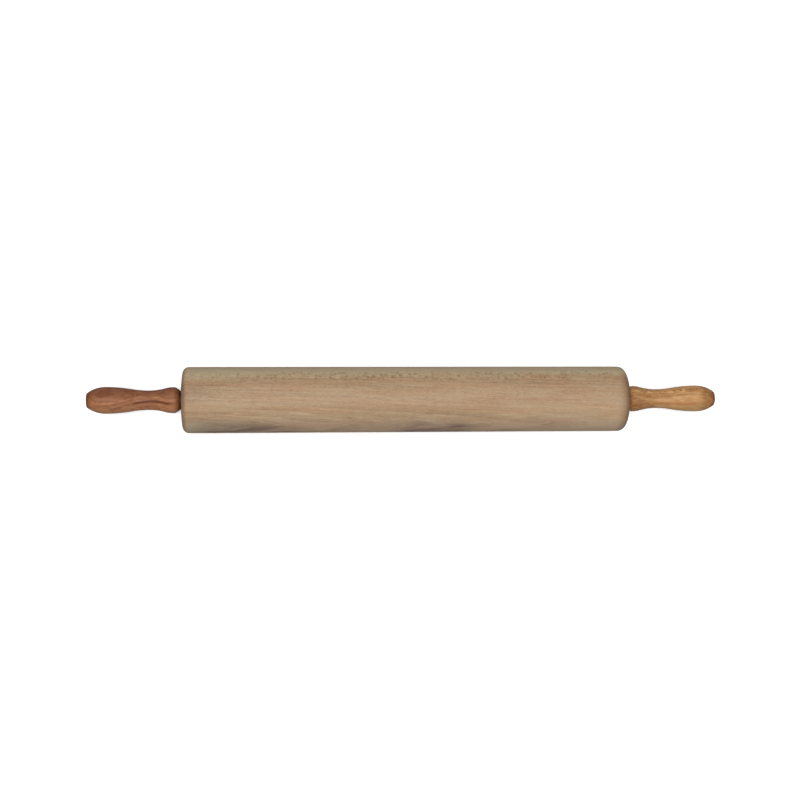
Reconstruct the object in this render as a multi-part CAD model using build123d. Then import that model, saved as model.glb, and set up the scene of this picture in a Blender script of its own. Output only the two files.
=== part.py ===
from build123d import *
import os

# A baker's rolling pin of beech. A thick barrel turns on a steel axle rod that runs from handle
# to handle. The axle lies along X, +Z is up, and the origin is the middle of the barrel's axis.
# All sizes are in millimetres. The pieces of the right end are modelled at +X, and those of the
# left end are the same pieces turned half round about Z.

# Barrel
BARREL_LENGTH = 440.0
BARREL_DIAMETER = 65.0
BARREL_EDGE_RADIUS = 7.0
BARREL_BORE_DIAMETER = 12.0
SEAT_MOUTH_CHAMFER = 0.4

# Nylon bush in each end of the barrel
BUSH_LENGTH = 18.0
BUSH_BODY_DIAMETER = 16.0
BUSH_FLANGE_DIAMETER = 22.0
BUSH_FLANGE_THICKNESS = 1.5
BUSH_NOSE_CHAMFER = 1.0
BUSH_LAND_LENGTH = 5.0
BUSH_RELIEF_DEPTH = 0.6

# Axle rod, tapped at both ends
AXLE_DIAMETER = 8.0
AXLE_END_CHAMFER = 0.6
TAPPED_HOLE_ROOM = 3.0

# Thrust washer between each bush and handle
THRUST_WASHER_DIAMETER = 18.0
THRUST_WASHER_THICKNESS = 2.5

# Handle, from its inner face to its tip
HANDLE_LENGTH = 90.0
HANDLE_FACE_DIAMETER = 19.4
HANDLE_COLLAR_DIAMETER = 25.7
HANDLE_WAIST_DIAMETER = 19.0
HANDLE_GRIP_DIAMETER = 26.2
HANDLE_TIP_DIAMETER = 13.8
HANDLE_TIP_EDGE_RADIUS = 0.9
AXLE_SEAT_DEPTH = 42.0
BROW_PLACE_SHARE = 0.037
BROW_WIDTH_SHARE = 0.928
COLLAR_PLACE_SHARE = 0.07
WAIST_PLACE_SHARE = 0.339
GRIP_PLACE_SHARE = 0.803
SHOULDER_PLACE_SHARE = 0.894
SHOULDER_WIDTH_SHARE = 0.911
COLLAR_CURVE_SHARE = 0.325
GRIP_CURVE_SHARE = 0.375

# Socket-head screw that holds each handle on the axle
SCREW_DIAMETER = 5.0
SCREW_THREAD_ENGAGEMENT = 12.5
SCREW_END_CHAMFER = 0.6
SCREW_HEAD_DIAMETER = 8.5
SCREW_HEAD_HEIGHT = 5.0
SCREW_HEAD_CHAMFER = 0.4
SCREW_SOCKET_WIDTH = 4.0
SCREW_SOCKET_DEPTH = 2.5
SCREW_WASHER_DIAMETER = 10.0
SCREW_WASHER_THICKNESS = 1.0
LOCK_WASHER_DIAMETER = 9.2
LOCK_WASHER_THICKNESS = 1.2
LOCK_WASHER_SLIT = 1.0
SCREW_HEAD_ROOM = 1.5

# Wooden plug that closes each handle's tip
PLUG_DIAMETER = 10.4
PLUG_LENGTH = 5.0
PLUG_CROWN_HEIGHT = 0.5
PLUG_NOSE_CHAMFER = 0.5

# Clearances, radial but for the end float
RUNNING_CLEARANCE = 0.05
END_FLOAT = 0.2
SEAT_CLEARANCE = 0.01
HOLE_CLEARANCE = 0.2
CUT_OVERRUN = 1.0

# Places along X at the right end
BARREL_END = BARREL_LENGTH / 2
THRUST_WASHER_START = BARREL_END + END_FLOAT
HANDLE_FACE = THRUST_WASHER_START + THRUST_WASHER_THICKNESS
AXLE_END = HANDLE_FACE + AXLE_SEAT_DEPTH
HANDLE_TIP = HANDLE_FACE + HANDLE_LENGTH
PLUG_START = HANDLE_TIP - PLUG_LENGTH
SCREW_HEAD_TOP = PLUG_START - SCREW_HEAD_ROOM
SCREW_HEAD_SEAT = SCREW_HEAD_TOP - SCREW_HEAD_HEIGHT
LOCK_WASHER_SEAT = SCREW_HEAD_SEAT - LOCK_WASHER_THICKNESS
COUNTERBORE_FLOOR = LOCK_WASHER_SEAT - SCREW_WASHER_THICKNESS
SCREW_END = AXLE_END - SCREW_THREAD_ENGAGEMENT


def turned(*lines):
    """Turns a closed outline, drawn above the X axis, into a solid of revolution."""
    return revolve(make_face(Curve() + list(lines)), Axis.X)


def turned_polygon(*points):
    """A solid of revolution whose outline has straight sides only."""
    return turned(Polyline(*points, close=True))


def round_bar(diameter, start, end):
    """A plain cylinder along the X axis."""
    return Pos((start + end) / 2, 0, 0) * Rot(0, 90, 0) * Cylinder(diameter / 2, end - start)


def flat_ring(hole_diameter, diameter, start, end):
    """A plain washer about the X axis."""
    hole = round_bar(hole_diameter, start - CUT_OVERRUN, end + CUT_OVERRUN)
    return round_bar(diameter, start, end) - hole


def left_of(piece):
    """The same piece at the left end of the pin."""
    return piece.rotate(Axis.Z, 180)


def bush_seat():
    """The stepped hole in the barrel's right end that the bush is pressed into."""
    body_radius = BUSH_BODY_DIAMETER / 2 + SEAT_CLEARANCE
    flange_radius = BUSH_FLANGE_DIAMETER / 2 + SEAT_CLEARANCE
    flange_floor = BARREL_END - BUSH_FLANGE_THICKNESS
    mouth_radius = flange_radius + SEAT_MOUTH_CHAMFER + CUT_OVERRUN
    return turned_polygon(
        (BARREL_END - BUSH_LENGTH, 0),
        (BARREL_END - BUSH_LENGTH, body_radius),
        (flange_floor, body_radius),
        (flange_floor, flange_radius),
        (BARREL_END - SEAT_MOUTH_CHAMFER, flange_radius),
        (BARREL_END + CUT_OVERRUN, mouth_radius),
        (BARREL_END + CUT_OVERRUN, 0),
    )


def make_barrel():
    """The beech roller: rounded rims, a bore from end to end and a stepped seat in each end."""
    barrel = round_bar(BARREL_DIAMETER, -BARREL_END, BARREL_END)
    barrel = fillet(barrel.edges().filter_by(GeomType.CIRCLE), BARREL_EDGE_RADIUS)
    barrel -= round_bar(BARREL_BORE_DIAMETER, -BARREL_END, BARREL_END)
    barrel -= bush_seat()
    barrel -= left_of(bush_seat())
    return barrel


def make_bush():
    """A flanged nylon bush that runs on the axle on two lands, with a grease room between them."""
    bore_radius = AXLE_DIAMETER / 2 + RUNNING_CLEARANCE
    relief_radius = bore_radius + BUSH_RELIEF_DEPTH
    nose = BARREL_END - BUSH_LENGTH
    flange_floor = BARREL_END - BUSH_FLANGE_THICKNESS
    body_radius = BUSH_BODY_DIAMETER / 2
    return turned_polygon(
        (nose, bore_radius),
        (nose, body_radius - BUSH_NOSE_CHAMFER),
        (nose + BUSH_NOSE_CHAMFER, body_radius),
        (flange_floor, body_radius),
        (flange_floor, BUSH_FLANGE_DIAMETER / 2),
        (BARREL_END, BUSH_FLANGE_DIAMETER / 2),
        (BARREL_END, bore_radius),
        (BARREL_END - BUSH_LAND_LENGTH, bore_radius),
        (BARREL_END - BUSH_LAND_LENGTH, relief_radius),
        (nose + BUSH_LAND_LENGTH, relief_radius),
        (nose + BUSH_LAND_LENGTH, bore_radius),
    )


def make_axle_rod():
    """The steel rod, with chamfered ends and a tapped hole in each."""
    axle_radius = AXLE_DIAMETER / 2
    rod = turned_polygon(
        (-AXLE_END, 0),
        (-AXLE_END, axle_radius - AXLE_END_CHAMFER),
        (-AXLE_END + AXLE_END_CHAMFER, axle_radius),
        (AXLE_END - AXLE_END_CHAMFER, axle_radius),
        (AXLE_END, axle_radius - AXLE_END_CHAMFER),
        (AXLE_END, 0),
    )
    hole_diameter = SCREW_DIAMETER + 2 * SEAT_CLEARANCE
    hole = round_bar(hole_diameter, SCREW_END - TAPPED_HOLE_ROOM, AXLE_END + CUT_OVERRUN)
    return rod - hole - left_of(hole)


def make_thrust_washer():
    """The thick dark washer that keeps the handle off the turning bush."""
    hole_diameter = AXLE_DIAMETER + 2 * HOLE_CLEARANCE
    return flat_ring(hole_diameter, THRUST_WASHER_DIAMETER, THRUST_WASHER_START, HANDLE_FACE)


def s_curve(start, end, turn_share):
    """Two arcs that leave start and reach end along the X axis and meet on the line between."""
    turn = start + (end - start) * turn_share
    first = TangentArc(start, turn, tangent=(1, 0))
    second = TangentArc(turn, end, tangent=first % 1)
    return first, second


def on_handle(place_share, diameter):
    """A point of the handle's outline, by its place along the handle and its diameter there."""
    return Vector(HANDLE_FACE + place_share * HANDLE_LENGTH, diameter / 2)


def handle_outline():
    """The turned outline of the handle: crisp collar, narrow waist, full grip and blunt tip."""
    face = Vector(HANDLE_FACE, HANDLE_FACE_DIAMETER / 2)
    brow = on_handle(BROW_PLACE_SHARE, BROW_WIDTH_SHARE * HANDLE_COLLAR_DIAMETER)
    collar = on_handle(COLLAR_PLACE_SHARE, HANDLE_COLLAR_DIAMETER)
    waist = on_handle(WAIST_PLACE_SHARE, HANDLE_WAIST_DIAMETER)
    grip = on_handle(GRIP_PLACE_SHARE, HANDLE_GRIP_DIAMETER)
    shoulder = on_handle(SHOULDER_PLACE_SHARE, SHOULDER_WIDTH_SHARE * HANDLE_GRIP_DIAMETER)
    tip = Vector(HANDLE_TIP, HANDLE_TIP_DIAMETER / 2)
    grip_arc = TangentArc(grip, shoulder, tangent=(1, 0))
    return (
        Line(face, brow),
        TangentArc(collar, brow, tangent=(-1, 0)),
        *s_curve(collar, waist, COLLAR_CURVE_SHARE),
        *s_curve(waist, grip, GRIP_CURVE_SHARE),
        grip_arc,
        TangentArc(shoulder, tip, tangent=grip_arc % 1),
        Polyline(tip, (HANDLE_TIP, 0), (HANDLE_FACE, 0), face),
    )


def make_handle():
    """The turned wooden handle, bored for the axle, the screw and its sunk head."""
    handle = turned(*handle_outline())
    tip_edge = handle.edges().filter_by(GeomType.CIRCLE).sort_by(Axis.X)[-1]
    handle = fillet(tip_edge, HANDLE_TIP_EDGE_RADIUS)
    axle_hole_diameter = AXLE_DIAMETER + 2 * SEAT_CLEARANCE
    screw_hole_diameter = SCREW_DIAMETER + 2 * HOLE_CLEARANCE
    counterbore_diameter = PLUG_DIAMETER + 2 * SEAT_CLEARANCE
    handle -= round_bar(axle_hole_diameter, HANDLE_FACE - CUT_OVERRUN, AXLE_END)
    handle -= round_bar(screw_hole_diameter, HANDLE_FACE, HANDLE_TIP)
    handle -= round_bar(counterbore_diameter, COUNTERBORE_FLOOR, HANDLE_TIP + CUT_OVERRUN)
    return handle


def make_handle_screw():
    """A socket-head screw, its thread left plain, with a hexagon socket in its head."""
    shank_radius = SCREW_DIAMETER / 2
    head_radius = SCREW_HEAD_DIAMETER / 2
    screw = turned_polygon(
        (SCREW_END, 0),
        (SCREW_END, shank_radius - SCREW_END_CHAMFER),
        (SCREW_END + SCREW_END_CHAMFER, shank_radius),
        (SCREW_HEAD_SEAT, shank_radius),
        (SCREW_HEAD_SEAT, head_radius),
        (SCREW_HEAD_TOP - SCREW_HEAD_CHAMFER, head_radius),
        (SCREW_HEAD_TOP, head_radius - SCREW_HEAD_CHAMFER),
        (SCREW_HEAD_TOP, 0),
    )
    socket_floor = Plane.YZ.offset(SCREW_HEAD_TOP - SCREW_SOCKET_DEPTH)
    hexagon = RegularPolygon(SCREW_SOCKET_WIDTH / 2, 6, major_radius=False)
    return screw - extrude(socket_floor * hexagon, SCREW_SOCKET_DEPTH + CUT_OVERRUN)


def make_screw_washer():
    """The washer under the screw's head, on the floor of the handle's counterbore."""
    hole_diameter = SCREW_DIAMETER + 2 * HOLE_CLEARANCE
    return flat_ring(hole_diameter, SCREW_WASHER_DIAMETER, COUNTERBORE_FLOOR, LOCK_WASHER_SEAT)


def make_lock_washer():
    """The spring ring between the flat washer and the screw's head, split at the top."""
    hole_diameter = SCREW_DIAMETER + 2 * HOLE_CLEARANCE
    ring = flat_ring(hole_diameter, LOCK_WASHER_DIAMETER, LOCK_WASHER_SEAT, SCREW_HEAD_SEAT)
    middle = (LOCK_WASHER_SEAT + SCREW_HEAD_SEAT) / 2
    slit_length = LOCK_WASHER_THICKNESS + 2 * CUT_OVERRUN
    slit = Box(slit_length, LOCK_WASHER_SLIT, LOCK_WASHER_DIAMETER)
    return ring - Pos(middle, 0, LOCK_WASHER_DIAMETER / 2) * slit


def make_end_plug():
    """The glued wooden plug: a chamfered nose inside and a low crown outside."""
    plug_radius = PLUG_DIAMETER / 2
    crown_top = HANDLE_TIP + PLUG_CROWN_HEIGHT
    side = Polyline(
        (crown_top, 0),
        (PLUG_START, 0),
        (PLUG_START, plug_radius - PLUG_NOSE_CHAMFER),
        (PLUG_START + PLUG_NOSE_CHAMFER, plug_radius),
        (HANDLE_TIP, plug_radius),
    )
    crown = TangentArc((crown_top, 0), (HANDLE_TIP, plug_radius), tangent=(0, 1))
    return turned(side, crown)


def make_pieces():
    """Every piece of the rolling pin, by the name of its node."""
    pieces = {"barrel": make_barrel(), "axle_rod": make_axle_rod()}
    end_pieces = {
        "bush": make_bush(),
        "thrust_washer": make_thrust_washer(),
        "handle": make_handle(),
        "handle_screw": make_handle_screw(),
        "screw_washer": make_screw_washer(),
        "lock_washer": make_lock_washer(),
        "end_plug": make_end_plug(),
    }
    for name, piece in end_pieces.items():
        pieces["right_" + name] = piece
        pieces["left_" + name] = left_of(piece)
    return pieces


os.makedirs("parts", exist_ok=True)
for node, piece in make_pieces().items():
    export_step(piece, f"parts/{node}.step")
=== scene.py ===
import math

import bpy
from bpy.props import FloatProperty, FloatVectorProperty, IntProperty, PointerProperty
from mathutils import Matrix, Vector


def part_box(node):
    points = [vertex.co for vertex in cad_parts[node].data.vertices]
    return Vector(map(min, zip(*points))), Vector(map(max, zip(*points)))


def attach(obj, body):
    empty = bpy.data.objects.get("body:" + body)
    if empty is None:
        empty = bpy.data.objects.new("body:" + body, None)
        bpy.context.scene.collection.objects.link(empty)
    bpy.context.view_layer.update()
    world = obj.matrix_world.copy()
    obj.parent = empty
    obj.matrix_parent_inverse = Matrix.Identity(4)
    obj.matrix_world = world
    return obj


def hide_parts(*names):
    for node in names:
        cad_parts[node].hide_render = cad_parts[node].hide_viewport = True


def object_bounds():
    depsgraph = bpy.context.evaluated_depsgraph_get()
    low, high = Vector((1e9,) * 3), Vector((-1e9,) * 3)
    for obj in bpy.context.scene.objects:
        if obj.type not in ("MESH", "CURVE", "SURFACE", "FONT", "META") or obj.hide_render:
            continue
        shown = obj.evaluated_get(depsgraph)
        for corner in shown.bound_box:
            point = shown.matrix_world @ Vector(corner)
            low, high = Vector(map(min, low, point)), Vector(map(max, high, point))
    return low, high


bl_info = {
    "name": "Rolling Pin",
    "version": (1, 0, 0),
    "blender": (4, 5, 0),
    "location": "3D View > Sidebar > Rolling Pin",
    "description": "Dresses a baker's rolling pin in turned, sanded and lacquered beech",
    "category": "Object",
}

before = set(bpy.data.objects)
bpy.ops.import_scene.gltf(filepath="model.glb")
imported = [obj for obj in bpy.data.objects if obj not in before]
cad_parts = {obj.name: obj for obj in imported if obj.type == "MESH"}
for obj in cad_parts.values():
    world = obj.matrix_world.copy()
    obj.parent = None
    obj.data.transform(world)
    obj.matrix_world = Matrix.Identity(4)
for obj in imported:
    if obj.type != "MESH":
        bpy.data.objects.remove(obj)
CAD_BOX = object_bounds()
BARREL_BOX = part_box("barrel")
BUSH_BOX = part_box("right_bush")
HANDLE_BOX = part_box("right_handle")
ROD_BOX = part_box("axle_rod")
PLUG_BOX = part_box("right_end_plug")
SCREW_WASHER_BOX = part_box("right_screw_washer")

MM = 0.001
ENDS = ("left", "right")
PICTURE_SIDE = 800  # pixels
SENSOR_WIDTH = 36  # millimetres
SWEEP_RADIUS = 1.0
WELD_DISTANCE = 1e-6
SHARP_FROM = math.radians(32)
STRAIGHT = 1e-9  # metres off its first heading, below which an arc is a line

# Steps in the arcs of a handle's outline
BROW_STEPS, COLLAR_STEPS, GRIP_STEPS = 8, 16, 24
SHOULDER_STEPS, TIP_STEPS, TIP_EDGE_STEPS = 12, 24, 6

# A Mix node's sockets for colours. They go by number, because its other kinds share their names.
MIX_FACTOR, MIX_FIRST, MIX_SECOND, MIX_RESULT = 0, 6, 7, 2

# Depths of the bumps, in metres
BARREL_RELIEF, HANDLE_RELIEF, METAL_RELIEF, NYLON_RELIEF = 0.00005, 0.00004, 0.00001, 0.000008

# Lengths of the marks on metal, nylon and paper along X, Y and Z, in millimetres
STAIN, NYLON_FLOW, NYLON_SKIN, PAPER_GRAIN = (9, 5, 5), (6, 3, 3), (0.25,) * 3, (3,) * 3

# Where they come up in the noise, and what they do to the colour and the roughness
STAIN_EDGE, STAIN_DARKENING = (0.45, 0.8), 0.62
FLOW_EDGE, NYLON_YELLOWING = (0.35, 0.75), (0.94, 0.9, 0.78)
PAPER_FLECK, PAPER_FLECK_DEPTH = (0.7, 0.7, 0.7), 0.04
TRACK_ROUGHNESS, STAIN_ROUGHNESS, SKIN_ROUGHNESS = 0.25, 0.15, 0.2

# Where each piece was sawn: its pith beside the axle in Y and Z, in millimetres, and how far the
# pith moves in both for each millimetre along X
BARREL_CUT = ((138.0, -98.0), (-0.021, 0.017))
HANDLE_CUTS = {"left": ((35.5, 61.5), (0.013, 0.0225)), "right": ((-48.0, 52.0), (0.01, 0.02))}


def across(box):
    """Diameter of a round piece, from its box."""
    return box[1].y - box[0].y


# Outlines, drawn as (distance along the axle, radius) and joined by lines and arcs


def arc(start, end, heading, steps):
    """The arc that leaves start along heading: its points up to end, and its heading there."""
    chord = end - start
    side = Vector((-heading.y, heading.x))
    reach = chord.dot(side)
    if abs(reach) < STRAIGHT:
        return [end.copy()], heading
    radius = chord.length_squared / (2 * reach)
    centre = start + side * radius
    turn = 2 * math.atan2(reach, chord.dot(heading))
    spoke = start - centre
    points = [centre + Matrix.Rotation(turn * k / steps, 2) @ spoke for k in range(1, steps + 1)]
    return points, Matrix.Rotation(turn, 2) @ heading


def s_curve(start, end, meeting, steps):
    """Two arcs that leave and arrive along the axle, and meet at this share of the way across."""
    turn = start.lerp(end, meeting)
    first, heading = arc(start, turn, Vector((1, 0)), steps)
    return first + arc(turn, end, heading, steps)[0]


def stepped(*corners):
    """Corner points of a bore."""
    return [Vector(corner) for corner in corners]


def barrel_end(sizes, edge_radius):
    """Half of the barrel's section: out through the bush's seat, up the face and round the rim."""
    end = BARREL_BOX[1].x
    radius = across(BARREL_BOX) / 2
    bore = sizes.bore / 2
    body = sizes.bush_body / 2
    seat = across(BUSH_BOX) / 2
    seat_floor = end - sizes.flange_thickness
    nose = BUSH_BOX[0].x
    points = stepped(
        (nose, bore), (nose, body), (seat_floor, body), (seat_floor, seat),
        (end - sizes.mouth_chamfer, seat), (end, seat + sizes.mouth_chamfer),
        (end, radius - edge_radius),
    )
    centre = Vector((end - edge_radius, radius - edge_radius))
    for k in range(1, sizes.edge_steps + 1):
        turn = math.pi / 2 * k / sizes.edge_steps
        points.append(centre + Vector((math.cos(turn), math.sin(turn))) * edge_radius)
    return points


def barrel_outline(sizes):
    """Closed section of the barrel, with a rim of its own at each end."""
    right = barrel_end(sizes, sizes.edge_radius)
    left = barrel_end(sizes, sizes.left_edge_radius)
    return right + [Vector((-p.x, p.y)) for p in reversed(left)]


def handle_outline(sizes):
    """Closed section of the right handle: collar, waist, grip, tip, and back through its bores."""
    face_x, tip_x = HANDLE_BOX[0].x, HANDLE_BOX[1].x
    span = tip_x - face_x

    def at(place, diameter):
        return Vector((face_x + place * span, diameter / 2))

    grip_across = across(HANDLE_BOX)
    face = at(0, sizes.face)
    brow = at(sizes.brow_place, sizes.collar * sizes.brow_width)
    collar = at(sizes.collar_place, sizes.collar)
    waist = at(sizes.waist_place, sizes.waist)
    grip = at(sizes.grip_place, grip_across)
    shoulder = at(sizes.shoulder_place, grip_across * sizes.shoulder_width)
    tip = at(1, sizes.tip)
    back = Vector((-1, 0))
    crest, _ = arc(collar, brow, back, BROW_STEPS)
    closing, heading = arc(grip, shoulder, -back, SHOULDER_STEPS)
    nose, _ = arc(shoulder, tip, heading, TIP_STEPS)
    points = [face] + crest[::-1] + [collar]
    points += s_curve(collar, waist, sizes.collar_curve, COLLAR_STEPS)
    points += s_curve(waist, grip, sizes.grip_curve, GRIP_STEPS)
    points += closing + eased_corner(nose, Vector((tip_x, 0)), sizes.tip_edge)
    screw_hole = sizes.screw_hole / 2
    sink = across(PLUG_BOX) / 2
    floor = SCREW_WASHER_BOX[0].x
    axle = across(ROD_BOX) / 2
    points += stepped(
        (tip_x, sink), (floor, sink), (floor, screw_hole), (ROD_BOX[1].x, screw_hole),
        (ROD_BOX[1].x, axle), (face_x, axle),
    )
    return points


def eased_corner(run, after, radius):
    """The run of points with its last corner, which turns towards after, rounded by radius."""
    corner = run[-1]
    arriving = (corner - run[-2]).normalized()
    leaving = (after - corner).normalized()
    half_turn = arriving.angle(leaving) / 2
    cut = radius * math.tan(half_turn)
    start = corner - arriving * cut
    end = corner + leaving * cut
    kept = [p for p in run if (p - corner).length > cut]
    return kept + [start] + arc(start, end, arriving, TIP_EDGE_STEPS)[0]


# Geometry trees


def lathe_tree():
    """Tree that turns a section about the axle, as a wood turner would."""
    tree = bpy.data.node_groups.get("turned_about_axle")
    if tree:
        return tree
    tree = bpy.data.node_groups.new("turned_about_axle", "GeometryNodeTree")
    sockets = tree.interface
    sockets.new_socket("Section", in_out="INPUT", socket_type="NodeSocketGeometry")
    facets = sockets.new_socket("Facets", in_out="INPUT", socket_type="NodeSocketInt")
    facets.default_value, facets.min_value = 128, 12
    sockets.new_socket("Finish", in_out="INPUT", socket_type="NodeSocketMaterial")
    sockets.new_socket("Turned form", in_out="OUTPUT", socket_type="NodeSocketGeometry")
    add, link = tree.nodes.new, tree.links.new
    given, result = add("NodeGroupInput"), add("NodeGroupOutput")
    circle = add("GeometryNodeCurvePrimitiveCircle")
    circle.inputs["Radius"].default_value = SWEEP_RADIUS
    sweep = add("GeometryNodeCurveToMesh")
    lay = add("GeometryNodeTransform")
    lay.inputs["Rotation"].default_value = (0, -math.pi / 2, 0)
    merge = add("GeometryNodeMergeByDistance")
    merge.inputs["Distance"].default_value = WELD_DISTANCE
    smooth = add("GeometryNodeSetShadeSmooth")
    real = add("GeometryNodeRealizeInstances")
    finish = add("GeometryNodeSetMaterial")
    link(given.outputs["Facets"], circle.inputs["Resolution"])
    link(circle.outputs["Curve"], sweep.inputs["Curve"])
    link(given.outputs["Section"], sweep.inputs["Profile Curve"])
    link(given.outputs["Finish"], finish.inputs["Material"])
    chain = (sweep, lay, merge, smooth, real, finish, result)
    for maker, taker in zip(chain, chain[1:]):
        link(maker.outputs[0], taker.inputs[0])
    return tree


def turned_piece(name, outline, facets, material):
    """A new piece turned from its section, as a plain mesh at the origin."""
    section = bpy.data.curves.new(name + "_section", "CURVE")
    section.dimensions = "2D"
    spline = section.splines.new("POLY")
    spline.points.add(len(outline) - 1)
    for point, place in zip(spline.points, outline):
        point.co = (place.y - SWEEP_RADIUS, place.x, 0, 1)
    spline.use_cyclic_u = True
    maker = bpy.data.objects.new(name + "_section", section)
    bpy.context.scene.collection.objects.link(maker)
    modifier = maker.modifiers.new("Lathe", "NODES")
    tree = lathe_tree()
    modifier.node_group = tree
    given = {"Facets": facets, "Finish": material}
    for item in tree.interface.items_tree:
        if item.in_out == "INPUT" and item.name in given:
            modifier[item.identifier] = given[item.name]
    depsgraph = bpy.context.evaluated_depsgraph_get()
    mesh = bpy.data.meshes.new_from_object(maker.evaluated_get(depsgraph), depsgraph=depsgraph)
    mesh.name = name
    bpy.data.objects.remove(maker)
    mesh.set_sharp_from_angle(angle=SHARP_FROM)
    piece = bpy.data.objects.new(name, mesh)
    bpy.context.scene.collection.objects.link(piece)
    return piece


# Shader maths


class Value:
    """A number that varies over a surface. The usual operators add Math nodes."""

    def __init__(self, finish, socket):
        self.finish = finish
        self.socket = socket

    def maths(self, operation, *terms):
        return self.finish.node("ShaderNodeMath", {"operation": operation}, dict(enumerate(terms)))

    def __add__(self, other):
        return self.maths("ADD", self, other)

    def __sub__(self, other):
        return self.maths("SUBTRACT", self, other)

    def __rsub__(self, other):
        return self.maths("SUBTRACT", other, self)

    def __mul__(self, other):
        return self.maths("MULTIPLY", self, other)

    def __truediv__(self, other):
        return self.maths("DIVIDE", self, other)

    def __pow__(self, other):
        return self.maths("POWER", self, other)

    def __neg__(self):
        return self.maths("SUBTRACT", 0, self)

    __radd__ = __add__
    __rmul__ = __mul__

    def beside(self, output):
        """Another output of the same node."""
        return Value(self.finish, self.socket.node.outputs[output])

    def part(self):
        """What is left past the last whole number."""
        return self.maths("FRACT", self)

    def whole(self):
        return self.maths("FLOOR", self)

    def magnitude(self):
        return self.maths("ABSOLUTE", self)

    def between(self, low, high):
        """0 below low, 1 above high, and smooth between them."""
        settings = {"interpolation_type": "SMOOTHSTEP"}
        sockets = {"Value": self, "From Min": low, "From Max": high}
        return self.finish.node("ShaderNodeMapRange", settings, sockets)

    def stretch(self, rise, fall):
        """1 between two places: it comes up over the first pair and goes over the second."""
        return self.between(*rise) * (1 - self.between(*fall))

    def line(self, core, edge):
        """1 within core of 0, and nothing farther than edge from it."""
        return 1 - self.magnitude().between(core, edge)


class Finish:
    """A material under construction, with its surface shader."""

    def __init__(self, name):
        self.material = bpy.data.materials.new(name)
        self.material.use_nodes = True
        self.tree = self.material.node_tree
        self.surface = self.tree.nodes["Principled BSDF"]

    def node(self, kind, settings=None, sockets=None, output=0):
        """Adds a node: its settings first, then the values or links of its sockets."""
        made = self.tree.nodes.new(kind)
        for name, value in (settings or {}).items():
            if name == "stops":
                self.set_stops(made.color_ramp.elements, value)
            else:
                setattr(made, name, value)
        for key, value in (sockets or {}).items():
            self.feed(made.inputs[key], value)
        return Value(self, made.outputs[output])

    def set_stops(self, elements, stops):
        while len(elements) < len(stops):
            elements.new(1)
        for element, (place, colour) in zip(elements, stops):
            element.position = place
            element.color = (*colour, 1)

    def feed(self, socket, value):
        if isinstance(value, Value):
            self.tree.links.new(value.socket, socket)
        elif socket.type == "RGBA" and len(value) == 3:
            socket.default_value = (*value, 1)
        else:
            socket.default_value = value

    def vector(self, x, y, z):
        return self.node("ShaderNodeCombineXYZ", None, {"X": x, "Y": y, "Z": z})

    def places(self):
        """Place on the piece along X, Y and Z, in millimetres."""
        here = self.node("ShaderNodeTexCoord", None, None, "Object")
        split = self.node("ShaderNodeSeparateXYZ", None, {"Vector": here})
        return [split.beside(axis) / MM for axis in "XYZ"]

    def scaled(self, place, lengths):
        """Vector of a place's three measures, in parts of these lengths."""
        return self.vector(*(measure / size for measure, size in zip(place, lengths)))

    def noise(self, place, lengths, detail=2.0, roughness=0.5):
        sockets = {"Vector": self.scaled(place, lengths), "Scale": 1.0, "Detail": detail,
                   "Roughness": roughness}
        return self.node("ShaderNodeTexNoise", None, sockets, "Fac")

    def cells(self, place, lengths):
        """Distance to the nearest of scattered points."""
        sockets = {"Vector": self.scaled(place, lengths), "Scale": 1.0, "Randomness": 1.0}
        return self.node("ShaderNodeTexVoronoi", None, sockets, "Distance")

    def chance(self, seed):
        """A number from 0 to 1, the same each time for the same seed."""
        return self.node("ShaderNodeTexWhiteNoise", None, {"Vector": self.vector(seed, 0, 0)})

    def blend(self, factor, first, second, way="MIX"):
        settings = {"data_type": "RGBA", "blend_type": way}
        sockets = {MIX_FACTOR: factor, MIX_FIRST: first, MIX_SECOND: second}
        return self.node("ShaderNodeMix", settings, sockets, MIX_RESULT)

    def set(self, **sockets):
        """Sets the surface shader's sockets, named with _ for a space."""
        for name, value in sockets.items():
            self.feed(self.surface.inputs[name.replace("_", " ")], value)

    def bump(self, height, distance):
        sockets = {"Height": height, "Strength": 1.0, "Distance": distance}
        self.set(Normal=self.node("ShaderNodeBump", None, sockets))


class Backdrop(Finish):
    """The light from all round, which shows as plain white past the floor's edge."""

    def __init__(self, name):
        self.world = bpy.data.worlds.new(name)
        self.world.use_nodes = True
        self.tree = self.world.node_tree
        self.surface = self.tree.nodes["Background"]


def srgb(red, green, blue):
    """A colour given in 0 to 255 screen steps, as scene light."""
    steps = (red / 255, green / 255, blue / 255)
    return tuple(c / 12.92 if c <= 0.04045 else ((c + 0.055) / 1.055) ** 2.4 for c in steps)


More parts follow.
